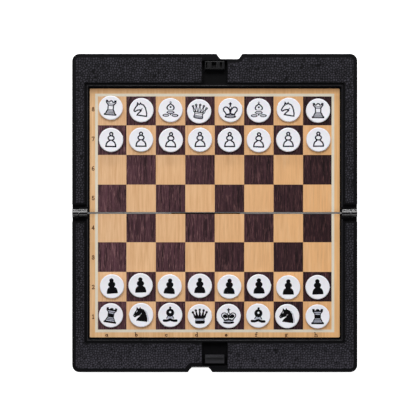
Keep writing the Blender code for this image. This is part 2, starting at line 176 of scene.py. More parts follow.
class Finish:
    """A Principled material, with short calls for the nodes that drive it."""

    def __init__(self, name, **constants):
        self.material = bpy.data.materials.new(name)
        self.material.use_nodes = True
        self.tree = self.material.node_tree
        self.shader = self.tree.nodes["Principled BSDF"]
        for socket, value in constants.items():
            self.shader.inputs[socket.replace("_", " ")].default_value = value
        coordinates = self.tree.nodes.new("ShaderNodeTexCoord")
        self.place = self.vector_math("SCALE", coordinates.outputs["Object"], scale=1 / MM)

    def link(self, value, socket):
        if isinstance(value, bpy.types.NodeSocket):
            self.tree.links.new(value, socket)
        else:
            socket.default_value = value

    def drive(self, socket, value):
        self.link(value, self.shader.inputs[socket])

    def math(self, operation, a, b=0.0):
        node = self.tree.nodes.new("ShaderNodeMath")
        node.operation = operation
        for value, socket in zip((a, b), node.inputs):
            self.link(value, socket)
        return node.outputs[0]

    def vector_math(self, operation, a, b=None, scale=1.0):
        node = self.tree.nodes.new("ShaderNodeVectorMath")
        node.operation = operation
        self.link(a, node.inputs[0])
        if b is not None:
            self.link(b, node.inputs[1])
        if operation == "SCALE":
            node.inputs["Scale"].default_value = scale
        return node.outputs[0]

    def axes(self, vector):
        node = self.tree.nodes.new("ShaderNodeSeparateXYZ")
        self.link(vector, node.inputs[0])
        return node.outputs

    def join(self, x, y, z):
        node = self.tree.nodes.new("ShaderNodeCombineXYZ")
        for value, socket in zip((x, y, z), node.inputs):
            self.link(value, socket)
        return node.outputs[0]

    def noise(self, vector, scale, detail=3.0, roughness=0.55):
        node = self.tree.nodes.new("ShaderNodeTexNoise")
        self.link(vector, node.inputs["Vector"])
        node.inputs["Scale"].default_value = scale
        node.inputs["Detail"].default_value = detail
        node.inputs["Roughness"].default_value = roughness
        return node.outputs["Fac"]

    def random(self, vector):
        node = self.tree.nodes.new("ShaderNodeTexWhiteNoise")
        self.link(vector, node.inputs["Vector"])
        return node.outputs["Value"]

    def spread(self, value, low, high, to_low=0.0, to_high=1.0):
        """A value between low and high moved to another span, and held at its ends."""
        node = self.tree.nodes.new("ShaderNodeMapRange")
        for span_end, socket in zip((value, low, high, to_low, to_high), node.inputs):
            self.link(span_end, socket)
        return node.outputs[0]

    def blend(self, share, a, b):
        node = self.tree.nodes.new("ShaderNodeMix")
        node.data_type = "RGBA"
        sockets = [s for s in node.inputs if s.type == "RGBA"]
        self.link(share, node.inputs[0])
        self.link(a, sockets[0])
        self.link(b, sockets[1])
        return next(s for s in node.outputs if s.type == "RGBA")

    def bump(self, height, distance):
        """Bumps as high as distance, in millimetres."""
        node = self.tree.nodes.new("ShaderNodeBump")
        node.inputs["Strength"].default_value = 1.0
        node.inputs["Distance"].default_value = distance * MM
        self.link(height, node.inputs["Height"])
        self.drive("Normal", node.outputs[0])


def moulded_black():
    """The case's black plastic: satin where smooth, glossy on the hinge barrels."""
    black = Finish("case_plastic")
    cloud = black.noise(black.place, 0.12, 4)
    black.drive("Base Color", black.blend(cloud, rgb(6, 6, 8), rgb(13, 12, 15)))
    _, y, z = black.axes(black.place)
    at_seam = black.math("LESS_THAN", black.math("ABSOLUTE", y), BARREL_REACH)
    barrel = black.math("MULTIPLY", at_seam, black.math("GREATER_THAN", z, BARREL_FOOT))
    satin = black.spread(black.noise(black.place, 1.3, 5), 0.3, 0.7, 0.40, 0.56)
    black.drive("Roughness", black.math("SUBTRACT", satin, black.math("MULTIPLY", barrel, 0.3)))
    black.drive("Specular IOR Level", black.spread(barrel, 0.0, 1.0, 0.08, 0.7))
    black.bump(black.noise(black.place, 7.0, 3), 0.012)
    return black.material


def leather_grain(name, painted_edge_light):
    """The rim's grained face, with painted light making it paler towards its outer edge by the given amount.

    The pebbles are shaped in the mesh. The painted highlights on their crests, the painted shade in their
    creases, and their pores are here.
    """
    grain = Finish(name, Specular_IOR_Level=0.12)
    fine = grain.noise(grain.place, 1.1, 5)
    _, y, z = grain.axes(grain.place)
    crests = grain.spread(z, GRAIN_TOP - 0.95 * GRAIN_DEPTH, GRAIN_TOP - 0.1 * GRAIN_DEPTH)
    patches = grain.spread(grain.noise(grain.place, 0.12, 3), 0.35, 0.65, 0.75, 1.0)
    mottle = grain.math("MULTIPLY", patches, grain.spread(fine, 0.3, 0.6, 0.6, 1.0))
    # Painted highlight on the pebbles' crests and painted shade in their creases, varied at random in
    # patches.
    painted_crest_highlight = grain.math("MULTIPLY", grain.math("MULTIPLY", crests, crests), mottle)
    # Painted light: the near rim's colour grows paler towards its outer edge.
    tone = grain.math("ADD", painted_crest_highlight, grain.spread(y, *EDGE_PAINTED_LIGHT_SPAN, 0.0, painted_edge_light))
    grain.drive("Base Color", grain.blend(tone, rgb(3, 3, 5), rgb(61, 59, 67)))
    grain.drive("Roughness", grain.spread(fine, 0.3, 0.7, 0.45, 0.62))
    grain.bump(grain.noise(grain.place, 4.5, 4), 0.03)
    return grain.material


def latch_black(name, low, high, gloss):
    """Smooth moulded black plastic, clouded between two tones."""
    black = Finish(name, Specular_IOR_Level=gloss)
    cloud = black.noise(black.place, 0.5, 4)
    black.drive("Base Color", black.blend(cloud, rgb(*low), rgb(*high)))
    black.drive("Roughness", black.spread(black.noise(black.place, 2.0, 4), 0.3, 0.7, 0.3, 0.46))
    black.bump(black.noise(black.place, 5.0, 3), 0.015)
    return black.material


def brushed_steel(name, tone, stretch):
    """Steel with fine lines, drawn out along X where the stretch is small."""
    steel = Finish(name, Metallic=1.0)
    x, y, z = steel.axes(steel.place)
    lines = steel.noise(steel.join(steel.math("MULTIPLY", x, stretch), y, z), 3.0, 5)
    steel.drive("Base Color", steel.blend(lines, rgb(*tone), rgb(*(value + 25 for value in tone))))
    steel.drive("Roughness", steel.spread(lines, 0.3, 0.7, 0.22, 0.4))
    steel.bump(lines, 0.008)
    return steel.material


def square_fields(card, x, y):
    """Which squares are dark, each square's own place for its figure, and a random share for it."""
    far = card.math("GREATER_THAN", y, 0.0)
    cut = card.spread(far, 0.0, 1.0, NEAR_SQUARES_CUT, FAR_SQUARES_CUT)
    from_seam = card.math("ADD", card.math("ABSOLUTE", y), cut)
    along = card.math("MULTIPLY", from_seam, card.math("SIGN", y))
    column = card.math("FLOOR", card.math("DIVIDE", x, SQUARE_WIDTH))
    row = card.math("FLOOR", card.math("DIVIDE", along, SQUARE_LENGTH))
    dark = card.math("LESS_THAN", card.math("PINGPONG", card.math("ADD", column, row), 1.0), 0.5)
    cell = card.join(column, row, 0.5)
    shifted = card.vector_math("ADD", card.place, card.vector_math("SCALE", cell, scale=FIGURE_STEP))
    return dark, shifted, card.random(cell)


def pale_wood(card, rightward, streaks, hairs, flames):
    base = card.blend(rightward, rgb(222, 182, 142), rgb(224, 172, 118))
    wood = card.blend(card.spread(streaks, 0.4, 0.75), base, rgb(203, 155, 108))
    wood = card.blend(card.spread(hairs, 0.58, 0.8, 0.0, 0.5), wood, rgb(188, 138, 92))
    return card.blend(card.spread(flames, 0.5, 0.7, 0.0, 0.35), wood, rgb(236, 196, 152))


def dark_wood(card, rightward, streaks, hairs, flames, pick):
    # Painted reflection: the dark squares grow paler towards the left and darker towards the right, as under
    # a lamp shining from the left.
    base = card.blend(rightward, rgb(88, 57, 65), rgb(43, 23, 27))
    mark = card.blend(rightward, rgb(44, 26, 31), rgb(24, 13, 16))
    pale_hair = card.blend(rightward, rgb(160, 116, 117), rgb(104, 68, 67))
    wood = card.blend(card.spread(streaks, 0.42, 0.58), base, mark)
    wood = card.blend(card.spread(hairs, 0.54, 0.68, 0.0, 0.85), wood, pale_hair)
    wood = card.blend(card.spread(flames, 0.48, 0.7, 0.0, 0.4), wood, base)
    return card.blend(card.spread(pick, 0.0, 1.0, 0.0, 0.25), wood, mark)


def border_wood(card, rightward, flames, y):
    """The wood outside the pale line, darker near the far rim, where it lies in shadow."""
    streaks = card.noise(card.vector_math("MULTIPLY", card.place, (1.0, 0.03, 1.0)), 0.8, 6, 0.6)
    base = card.blend(rightward, rgb(232, 193, 150), rgb(236, 186, 130))
    wood = card.blend(card.spread(streaks, 0.3, 0.7), base, rgb(208, 162, 112))
    wood = card.blend(card.spread(flames, 0.45, 0.75, 0.0, 0.35), wood, rgb(198, 150, 100))
    return card.blend(card.spread(y, *FAR_SHADOW, 0.0, 0.85), wood, rgb(140, 102, 68))


def printed_board():
    """Wood printed on card: squares, a pale line round them, an outer border, and a white core."""
    card = Finish("board_print", Specular_IOR_Level=0.12)
    x, y, z = card.axes(card.place)
    dark, shifted, pick = square_fields(card, x, y)
    past_side = card.math("SUBTRACT", card.math("ABSOLUTE", x), PLAY_HALF_WIDTH)
    past_end = card.math("SUBTRACT", card.math("ABSOLUTE", y), PLAY_REACH)
    outside = card.math("MAXIMUM", past_side, past_end)
    on_squares = card.math("LESS_THAN", outside, 0.0)
    on_border = card.math("GREATER_THAN", outside, PALE_LINE)

    run = card.vector_math("MULTIPLY", shifted, (1.0, 0.045, 1.0))
    streaks = card.noise(run, 0.9, 6, 0.62)
    hairs = card.noise(run, 3.6, 4, 0.6)
    flames = card.noise(card.vector_math("MULTIPLY", shifted, (1.0, 0.12, 1.0)), 0.28, 3)
    rightward = card.spread(x, -BOARD_EDGE, BOARD_EDGE)
    light = pale_wood(card, rightward, streaks, hairs, flames)
    deep = dark_wood(card, rightward, streaks, hairs, flames, pick)
    border = border_wood(card, rightward, flames, y)

    squares = card.blend(dark, light, deep)
    line = card.blend(card.noise(card.place, 0.6, 4), rgb(222, 214, 196), rgb(210, 200, 180))
    print_colour = card.blend(on_border, card.blend(on_squares, line, squares), border)
    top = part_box("near_board_print")[1].z / MM
    printed = card.math("GREATER_THAN", z, top - PAPER_CORE)
    card.drive("Base Color", card.blend(printed, rgb(238, 236, 230), print_colour))
    card.drive("Roughness", card.spread(hairs, 0.2, 0.8, 0.4, 0.55))
    card.bump(card.noise(card.place, 3.0, 3), 0.006)
    return card.material


def disc_white():
    """Satin white plastic with a few faint specks."""
    white = Finish("disc_plastic", Specular_IOR_Level=0.4)
    white.shader.inputs["Subsurface Weight"].default_value = 0.06
    white.shader.inputs["Subsurface Scale"].default_value = 0.4 * MM
    cloud = white.noise(white.place, 0.35, 4)
    speck = white.spread(white.noise(white.place, 3.0, 2), 0.7, 0.78)
    tone = white.blend(cloud, rgb(228, 228, 235), rgb(236, 236, 241))
    white.drive("Base Color", white.blend(white.math("MULTIPLY", speck, 0.25), tone, rgb(205, 203, 210)))
    white.drive("Roughness", white.spread(white.noise(white.place, 1.2, 4), 0.3, 0.7, 0.3, 0.42))
    white.bump(white.noise(white.place, 1.6, 3), 0.02)
    return white.material


def printing_ink(name, low, high):
    """Screen-printed ink, a little uneven where it went on thin."""
    ink = Finish(name, Specular_IOR_Level=0.06)
    thin = ink.spread(ink.noise(ink.place, 2.4, 4), 0.35, 0.75)
    ink.drive("Base Color", ink.blend(thin, rgb(*low), rgb(*high)))
    ink.drive("Roughness", ink.spread(ink.noise(ink.place, 4.0, 3), 0.3, 0.7, 0.38, 0.55))
    ink.bump(ink.noise(ink.place, 9.0, 2), 0.004)
    return ink.material


# ---------------------------------------------------------------- drawing by distance fields


class Drawing:
    """A grid of points in millimetres on which shapes are distances, negative inside."""

    def __init__(self, low, high, pitch):
        self.xs = np.arange(low[0], high[0] + pitch, pitch)
        self.ys = np.arange(low[1], high[1] + pitch, pitch)
        self.x, self.y = np.meshgrid(self.xs, self.ys, indexing="ij")

    def circle(self, centre, radius):
        return np.hypot(self.x - centre[0], self.y - centre[1]) - radius

    def ellipse(self, centre, width, height):
        """An ellipse with its width and height measured from its centre.

        Its field is close to a distance, and exact at the outline.
        """
        across, up = (self.x - centre[0]) / width, (self.y - centre[1]) / height
        size = np.hypot(across, up)
        slope = np.hypot(across / width, up / height)
        return (size - 1) * size / np.maximum(slope, 1e-6)

    def line(self, points, width=STROKE):
        """A line with round ends through the points."""
        nearest = np.full(self.x.shape, np.inf)
        for (x0, y0), (x1, y1) in zip(points, points[1:]):
            dx, dy = x1 - x0, y1 - y0
            share = ((self.x - x0) * dx + (self.y - y0) * dy) / max(dx * dx + dy * dy, 1e-12)
            share = np.clip(share, 0.0, 1.0)
            apart = np.hypot(self.x - x0 - share * dx, self.y - y0 - share * dy)
            nearest = np.minimum(nearest, apart)
        return nearest - width / 2

    def outline(self, points):
        """The inside of a closed outline."""
        closed = [*points, points[0]]
        apart = self.line(closed, 0.0)
        crossings = np.zeros(self.x.shape, bool)
        for (x0, y0), (x1, y1) in zip(closed, closed[1:]):
            if y0 != y1:
                spans = (y0 > self.y) != (y1 > self.y)
                crossings ^= spans & (self.x < (x1 - x0) * (self.y - y0) / (y1 - y0) + x0)
        return np.where(crossings, -apart, apart)


def join(*fields):
    return np.minimum.reduce(fields)


def common(*fields):
    return np.maximum.reduce(fields)


def without(field, *holes):
    return np.maximum(field, -join(*holes))


def rim_of(field, width=STROKE):
    """The stroke that runs just inside a shape's edge."""
    return np.maximum(field, -field - width)


def mirrored(points):
    """A closed outline from its right half, which runs from the top down."""
    return [*points, *((-x, y) for x, y in reversed(points))]


def curve_through(points, steps=5):
    """A smooth closed curve through the points."""
    count = len(points)
    smooth = []
    for index in range(count):
        a, b, c, d = (np.array(points[(index + offset) % count], float) for offset in (-1, 0, 1, 2))
        for step in range(steps):
            t = step / steps
            smooth.append(tuple(0.5 * (
                2 * b + (c - a) * t + (2 * a - 5 * b + 4 * c - d) * t**2 + (3 * b - a - 3 * c + d) * t**3
            )))
    return smooth


def bands(d, field, width, heights):
    """Straight strokes across a shape at some heights."""
    return join(*(common(field, d.line([(-4, y), (4, y)], width)) for y in heights))


def arc(centre, radius, start, end, steps=8):
    """Points along an arc between two angles, in radians."""
    angles = [start + (end - start) * step / steps for step in range(steps + 1)]
    return [(centre[0] + radius * math.cos(a), centre[1] + radius * math.sin(a)) for a in angles]


# ---------------------------------------------------------------- the six symbols

# Each function draws one symbol about its disc's centre, solid for the black side or in outline for
# the white. It gives the ink's field and the paler shade's field, or None where there is no shade.


def draw_pawn(d, solid):
    head = d.circle((0, 3.55), 1.28)
    neck = common(np.abs(d.x) - 1.0, d.y - 3.3, 1.5 - d.y)
    shoulders = d.ellipse((0, 1.15), 2.15, 1.75)
    skirt = d.outline(mirrored([
        (1.3, 0.3), (1.5, -0.4), (2.2, -0.85), (2.75, -1.5), (3.1, -2.4), (3.3, -3.4), (3.3, -4.3),
    ]))
    body = join(head, neck, shoulders, skirt)
    return (body, None) if solid else (rim_of(body, 0.8), None)


def draw_rook(d, solid):
    tower = d.outline(mirrored([
        (0.0, 4.5), (0.75, 4.4), (1.15, 3.7), (1.75, 3.65), (1.85, 4.55), (3.2, 4.55), (3.15, 3.0),
        (2.5, 2.2), (1.95, 1.5), (1.9, -1.0), (2.5, -1.9), (3.0, -3.2), (3.75, -3.6), (3.75, -4.55),
    ]))
    crown = common(tower, d.y - 2.75, 1.1 - d.y)
    flare = common(tower, d.y + 1.15, -3.45 - d.y)
    if solid:
        stripes = bands(d, tower, 0.4, (1.95, -1.85, -2.65))
        return join(without(tower, crown, flare), rim_of(tower, 0.55), stripes), join(crown, flare)
    stripes = bands(d, tower, 0.3, (2.35, 1.25, -1.1, -1.95, -2.75, -3.5))
    return join(rim_of(tower, 0.68), stripes), join(common(crown, d.y - 2.3), flare)


def draw_knight(d, solid):
    ears = [(-3.05, 4.65), (-1.75, 3.5), (-1.0, 4.8), (-0.5, 3.95)]
    back = [(1.15, 3.45), (2.45, 2.0), (3.25, 0.1), (3.8, -1.8), (3.9, -3.75)]
    chest = [(-2.8, -3.55), (-2.2, -2.3), (-1.25, -1.2), (-0.45, -0.3)]
    jaw = [(-0.9, -0.35), (-2.2, -0.7), (-3.4, -1.65), (-4.3, -1.5), (-4.8, -0.6)]
    nose = [(-3.95, 1.45), (-3.2, 2.6)]
    head = d.outline([*ears, *back, *chest, *jaw, *nose])
    if not solid:
        throat = d.line([(-0.7, -0.4), (-0.05, 0.25), (0.3, 1.0)], 0.5)
        brow = d.line([(-3.0, 2.9), (-2.5, 2.3)], 0.5)
        return join(rim_of(head, 0.75), throat, brow), None
    eye = d.line([(-2.55, 2.35), (-2.95, 1.6)], 0.34)
    mouth = d.line([(-4.1, -0.75), (-3.55, -0.5)], 0.14)
    cheek = d.line([(0.1, 1.1), (-0.5, 0.1), (-0.9, -0.3)], 0.18)
    mane_shape = d.outline([(x + 0.9, y) for x, y in [(-0.5, 3.95), *back, (0.6, -3.75)]])
    mane = without(common(mane_shape, -3.6 - d.y), head - 0.12)
    strands = join(*(d.line([(-1, y), (6, y - 2.5)], 0.2) for y in np.arange(-4.0, 7.5, 0.6)))
    return without(head, eye, mouth, cheek), without(mane, strands)


def draw_bishop(d, solid):
    if solid:
        peak = d.outline(mirrored([(0.0, 4.4), (0.5, 3.9), (1.5, 3.2), (0, 2.0)]))
        head = join(d.circle((0, 1.45), 2.4), peak)
        finial = d.circle((0, 4.4), 0.68)
        light = d.circle((0, 1.75), 0.62)
        collar = d.outline(mirrored([(1.3, -0.5), (2.2, -2.2), (0.4, -2.0)]))
        wings = join(*(d.line([(side * 1.5, -0.7), (side * 2.15, -1.9)], 0.5) for side in (1, -1)))
        foot = join(*(
            d.line([(0, -2.6), (side * 1.2, -3.1), (side * 2.2, -3.35), (side * 3.7, -3.3)], 1.5)
            for side in (1, -1)
        ))
        return join(without(join(head, finial), light), wings, foot), without(collar, wings, head, foot)
    mitre = d.outline(mirrored([
        (0.0, 4.15), (0.6, 3.85), (1.35, 3.25), (2.05, 2.6), (2.5, 1.6), (2.35, 0.7), (1.8, 0.0),
        (1.55, -0.4),
    ]))
    collar = d.outline(mirrored([(1.5, -0.3), (2.15, -1.5), (1.3, -2.3)]))
    lobes = join(*(d.ellipse((side * 2.75, -3.15), 2.0, 0.9) for side in (1, -1)))
    finial = rim_of(d.circle((0, 4.6), 0.6), 0.3)
    low_dots = ((0, -2.65), (1.95, -1.4), (-1.95, -1.4), (4.3, -3.15), (-4.3, -3.15))
    dots = join(d.circle((0, 1.85), 0.62), *(d.circle(at, 0.42) for at in low_dots))
    dome = common(rim_of(mitre, 0.75), 0.15 - d.y)
    outlines = join(dome, rim_of(collar, 0.42), rim_of(lobes, 0.46), finial)
    return join(outlines, dots), common(join(collar, lobes), 0.1 - mitre)


def draw_queen(d, solid):
    tips = [(side * x, y) for x, y in ((4.1, 2.35), (2.3, 3.45), (0.0, 3.8)) for side in (1, -1)]
    balls = join(*(d.circle(tip, 0.74) for tip in tips))
    spikes = join(*(
        d.outline([(x - 0.32, y), (x + 0.32, y), (0.6 * x + 0.9, -0.9), (0.6 * x - 0.9, -0.9)])
        for x, y in tips
    ))
    bowl = d.outline(mirrored([(3.0, -0.3), (2.6, -2.2), (2.95, -3.2), (2.8, -4.2), (1.6, -4.55)]))
    belt = common(bowl, d.y + 1.2, -2.9 - d.y)
    if solid:
        return join(balls, spikes, without(bowl, belt + 0.3)), belt + 0.32
    rims = join(rim_of(balls, 0.48), rim_of(spikes, 0.44), rim_of(bowl, 0.6))
    return join(rims, bands(d, bowl, 0.32, (-1.5, -2.7, -3.5))), common(bowl, d.y + 2.7)


def draw_king(d, solid):
    star = d.outline(mirrored([(0.0, 4.95), (0.45, 4.2), (1.25, 3.75), (0.45, 3.3), (0.42, 2.5)]))
    drop = d.outline(mirrored([(0.0, 2.75), (0.9, 1.5), (0.7, 0.9), (0.15, 0.1)]))
    lobe = curve_through([
        (0.95, 1.35), (2.0, 2.1), (3.4, 2.0), (4.45, 0.9), (4.2, -0.6), (3.1, -2.0), (2.6, -2.9),
        (0.0, -2.5), (0.0, -0.2),
    ])
    lobes = join(d.outline(lobe), d.outline([(-x, y) for x, y in lobe]))
    stem = d.line([(0, 0.6), (0, -1.4)], 0.45)
    if solid:
        leaf = curve_through([(0.5, -0.9), (1.2, 0.6), (2.3, 1.15), (3.4, 0.4), (3.2, -0.7), (2.0, -1.3)])
        leaves = join(d.outline(leaf), d.outline([(-x, y) for x, y in leaf]))
        teeth = d.line([
            (-2.8, -1.9), (-1.9, -2.5), (-0.9, -1.9), (0, -2.5), (0.9, -1.9), (1.9, -2.5), (2.8, -1.9),
        ], 0.55)
        base = d.outline(mirrored([
            (0.0, -3.5), (2.3, -3.35), (3.3, -3.45), (3.1, -4.2), (2.1, -4.55), (0.0, -4.7),
        ]))
        band = d.outline(mirrored([(2.7, -2.3), (2.9, -3.4), (0.0, -3.5)]))
        rims = join(rim_of(drop, 0.34), rim_of(lobes, 0.56))
        return join(star, rims, leaves, teeth, stem, base), without(band, teeth, base)
    foot = d.outline(mirrored([(0.0, -1.7), (2.6, -2.3), (3.2, -4.1), (2.4, -4.6), (0.0, -4.85)]))
    corners = join(*(d.circle((side * 2.8, -3.9), 0.6) for side in (1, -1)))
    hatch = bands(d, foot, 0.24, (-2.4, -3.0, -3.6, -4.2))
    rims = join(rim_of(drop, 0.32), rim_of(lobes, 0.75), rim_of(foot, 0.35))
    return join(star, rims, stem, corners, hatch), common(foot, foot + 0.3)


SYMBOLS = {
    "pawn": draw_pawn,
    "rook": draw_rook,
    "knight": draw_knight,
    "bishop": draw_bishop,
    "queen": draw_queen,
    "king": draw_king,
}


# ---------------------------------------------------------------- meshes


def cell_polygons(drawing, field):
    """The part of each grid cell that is inside a field, as lists of keys, with each key's point.

    A key is a pair of grid corners: the same corner twice, or the two ends of an edge that the
    outline crosses.
    """
    inside = field < 0
    points, polygons = {}, []

    def point(a, b):
        key = (a, b) if a <= b else (b, a)
        if key not in points:
            share = 0.0 if a == b else field[key[0]] / (field[key[0]] - field[key[1]])
            start, end = (np.array((drawing.xs[i], drawing.ys[j])) for i, j in key)
            points[key] = start + share * (end - start)
        return key

    touched = inside[:-1, :-1] | inside[1:, :-1] | inside[1:, 1:] | inside[:-1, 1:]
    for i, j in zip(*(axis.tolist() for axis in np.nonzero(touched))):
        corners = ((i, j), (i + 1, j), (i + 1, j + 1), (i, j + 1))
        polygon = []
        for corner, following in zip(corners, corners[1:] + corners[:1]):
            if inside[corner]:
                polygon.append(point(corner, corner))
            if inside[corner] != inside[following]:
                polygon.append(point(corner, following))
        polygons.append(polygon)
    return points, polygons


def add_slab(shape, drawing, field, low, high, slot=0, relief=None):
    """Adds a closed slab over the inside of a field. Relief gives its top's height at a point."""
    points, polygons = cell_polygons(drawing, field)
    keys = list(points)
    flat = np.array([points[key] for key in keys])
    tops = np.full(len(keys), high) if relief is None else relief(flat)
    upper, lower = {}, {}
    for key, (x, y), z in zip(keys, flat, tops):
        upper[key] = shape.verts.new((x * MM, y * MM, z * MM))
        lower[key] = shape.verts.new((x * MM, y * MM, low * MM))
    steps, faces = set(), []
    for polygon in polygons:
        faces.append(shape.faces.new([upper[key] for key in polygon]))
        faces.append(shape.faces.new([lower[key] for key in reversed(polygon)]))
        steps.update(zip(polygon, polygon[1:] + polygon[:1]))
    for start, end in sorted(steps):
        if (end, start) not in steps:
            faces.append(shape.faces.new((upper[end], upper[start], lower[start], lower[end])))
    for face in faces:
        face.material_index = slot


def finish_mesh(name, shape, *materials, smooth=True):
    """The mesh of a finished shape, with its faces turned outwards."""
    bmesh.ops.recalc_face_normals(shape, faces=shape.faces)
    mesh = bpy.data.meshes.new(name)
    shape.to_mesh(mesh)
    shape.free()
    for material in materials:
        mesh.materials.append(material)
    if smooth:
        mesh.shade_smooth()
        mesh.set_sharp_from_angle(angle=math.radians(40))
    return mesh


def add_piece(name, mesh, body, at=(0.0, 0.0, 0.0), turn=0.0, replaced=()):
    """Adds a piece that rides on a body, and takes the place of the replaced CAD nodes."""
    piece = bpy.data.objects.new(name, mesh)
    bpy.context.scene.collection.objects.link(piece)
    piece.location = at
    piece.rotation_euler = (0.0, 0.0, turn)
    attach(piece, body)
    if replaced:
        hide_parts(*replaced)


def turned(profile, sides, reach=None):
    """A closed turned solid. The profile's points run from the axis round to the axis again.

    Reach gives how much further out a point stands, from its angle, radius and height.
    """
    shape = bmesh.new()
    rings = []
    for radius, height in profile:
        if radius == 0.0:
            rings.append([shape.verts.new((0.0, 0.0, height * MM))])
            continue
        ring = []
        for side in range(sides):
            angle = 2 * math.pi * side / sides
            out = (radius + (reach(angle, radius, height) if reach else 0.0)) * MM
            ring.append(shape.verts.new((out * math.cos(angle), out * math.sin(angle), height * MM)))
        rings.append(ring)
    for lower, upper in zip(rings, rings[1:]):
        for side in range(sides):
            following = (side + 1) % sides
            corners = [lower[side % len(lower)], lower[following % len(lower)],
                       upper[following % len(upper)], upper[side % len(upper)]]
            shape.faces.new(list(dict.fromkeys(corners)))
    return shape


# ---------------------------------------------------------------- discs


def disc_mesh(material, radius, thickness):
    """A disc with a rounded edge, a faintly dished face, a magnet pocket and a moulding nib."""
    bend = DISC_EDGE_ROUND
    face_edge = radius - bend
    profile = [(0.0, POCKET_DEPTH), (POCKET_RADIUS - 0.1, POCKET_DEPTH), (POCKET_RADIUS, POCKET_DEPTH - 0.1)]
    profile += [(POCKET_RADIUS, 0.12), (POCKET_RADIUS + 0.12, 0.0), (radius - 0.2, 0.0), (radius, 0.2)]
    profile += arc((face_edge, thickness - bend), bend, 0.0, math.pi / 2)
    profile += [(face_edge - 0.5, thickness - DISC_DISH), (0.0, thickness - DISC_DISH)]

    def nib(angle, ring_radius, height):
        off = min(angle, 2 * math.pi - angle) / NIB_HALF_ANGLE
        at_edge = ring_radius > face_edge and 0.15 < height < thickness - bend / 2
        return NIB_REACH * math.cos(off * math.pi / 2) if at_edge and off < 1 else 0.0

    return finish_mesh("disc", turned(profile, DISC_SIDES, nib), material)


def magnet_mesh(material):
    face_edge = MAGNET_RADIUS - MAGNET_CHAMFER
    profile = [(0.0, 0.0), (face_edge, 0.0), (MAGNET_RADIUS, MAGNET_CHAMFER)]
    profile += [(MAGNET_RADIUS, MAGNET_THICKNESS - MAGNET_CHAMFER), (face_edge, MAGNET_THICKNESS)]
    profile += [(0.0, MAGNET_THICKNESS)]
    return finish_mesh("magnet", turned(profile, MAGNET_SIDES), material)


def symbol_mesh(drawing, piece, solid, ink, shade_ink):
    ink_field, shade_field = SYMBOLS[piece](drawing, solid)
    shape = bmesh.new()
    add_slab(shape, drawing, ink_field, -INK_SINK, INK_THICKNESS)
    if shade_field is not None:
        clear_of_ink = common(shade_field, INK_GAP - ink_field)
        add_slab(shape, drawing, clear_of_ink, -INK_SINK, SHADE_THICKNESS, slot=1)
    return finish_mesh(f"{piece}_symbol", shape, ink, shade_ink, smooth=False)


def dress_discs():
    """Puts a detailed disc, its printed symbol and its magnet in the place of each CAD disc."""
    low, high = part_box("white_pawn_a")
    radius, thickness = (high.x - low.x) / 2 / MM, (high.z - low.z) / MM
    disc = disc_mesh(disc_white(), radius, thickness)
    magnet = magnet_mesh(brushed_steel("magnet", (150, 152, 158), 1.0))
    drawing = Drawing((-SYMBOL_REACH, -SYMBOL_REACH), (SYMBOL_REACH, SYMBOL_REACH), SYMBOL_PITCH)
    inks = {
        "white": (printing_ink("symbol_ink_outline", (9, 7, 22), (22, 18, 40)),
                  printing_ink("symbol_ink_tint", (178, 178, 188), (200, 200, 208))),
        "black": (printing_ink("symbol_ink_solid", (4, 4, 6), (14, 13, 17)),
                  printing_ink("symbol_ink_shade", (158, 160, 176), (184, 186, 200))),
    }
    order = np.random.default_rng(NIB_SEED)
    for colour, back_rank, pawn_rank in (("white", 8, 7), ("black", 1, 2)):
        symbols = {
            piece: symbol_mesh(drawing, piece, colour == "black", *inks[colour]) for piece in SYMBOLS
        }
        for rank in (back_rank, pawn_rank):
            for index, letter in enumerate(FILES):
                piece = BACK_RANK[index] if rank == back_rank else "pawn"
                name = f"{colour}_{piece}_{letter}"
                low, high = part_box(name)
                centre = (low + high) / 2
                foot = (centre.x, centre.y, low.z)
                face = (centre.x, centre.y, high.z - DISC_DISH * MM)
                turn = -math.radians(SYMBOL_TURN[rank][index])
                nib_turn = order.uniform(0, 2 * math.pi)
                add_piece(f"{name}_disc", disc, name, foot, nib_turn, [name])
                add_piece(f"{name}_symbol", symbols[piece], name, face, turn)
                add_piece(f"{name}_magnet", magnet, name, foot, nib_turn)


# ---------------------------------------------------------------- leather grain on the rim


def pebble_height(points, seed):
    """Heights of a pebbled leather grain at points in millimetres, 0 in its creases to 1."""
    order = np.random.default_rng(seed)
    low = points.min(0) - 2 * PEBBLE
    cells = np.ceil((points.max(0) - low) / PEBBLE).astype(int) + 3
    seeds = order.uniform(0.08, 0.92, (cells[0], cells[1], 2))
    size = order.uniform(0.75, 1.0, (cells[0], cells[1]))
    home = np.floor((points - low) / PEBBLE).astype(int)
    nearest = np.full(len(points), np.inf)
    second = np.full(len(points), np.inf)
    crown = np.ones(len(points))
    for right in (-1, 0, 1):
        for up in (-1, 0, 1):
            i, j = home[:, 0] + right, home[:, 1] + up
            seed_at = low + (np.stack((i, j), 1) + seeds[i, j]) * PEBBLE
            apart = np.linalg.norm(points - seed_at, axis=1) / PEBBLE
            closer = apart < nearest
            second = np.where(closer, nearest, np.minimum(second, apart))
            nearest = np.where(closer, apart, nearest)
            crown = np.where(closer, size[i, j], crown)
    crease = np.clip((second - nearest) / CREASE_SHARE, 0.0, 1.0)
    return crown * crease * crease * (3 - 2 * crease)


def notch_side(flat_end, depth, outward):
    """One side of the finger notch, set in by the width of the border."""
    radius = NOTCH_FILLET + BORDER_WIDTH
    centre = (0.0, HALF_LENGTH - depth + NOTCH_FILLET)
    points = [
        (flat_end + outward * x, y)
        for x, y in arc(centre, radius, -math.pi / 2, NOTCH_SLOPE - math.pi / 2, 4)
    ]
    last_x, last_y = points[-1]
    edge = HALF_LENGTH - BORDER_WIDTH
    return [*points, (last_x + outward * (edge - last_y) / math.tan(NOTCH_SLOPE), edge)]


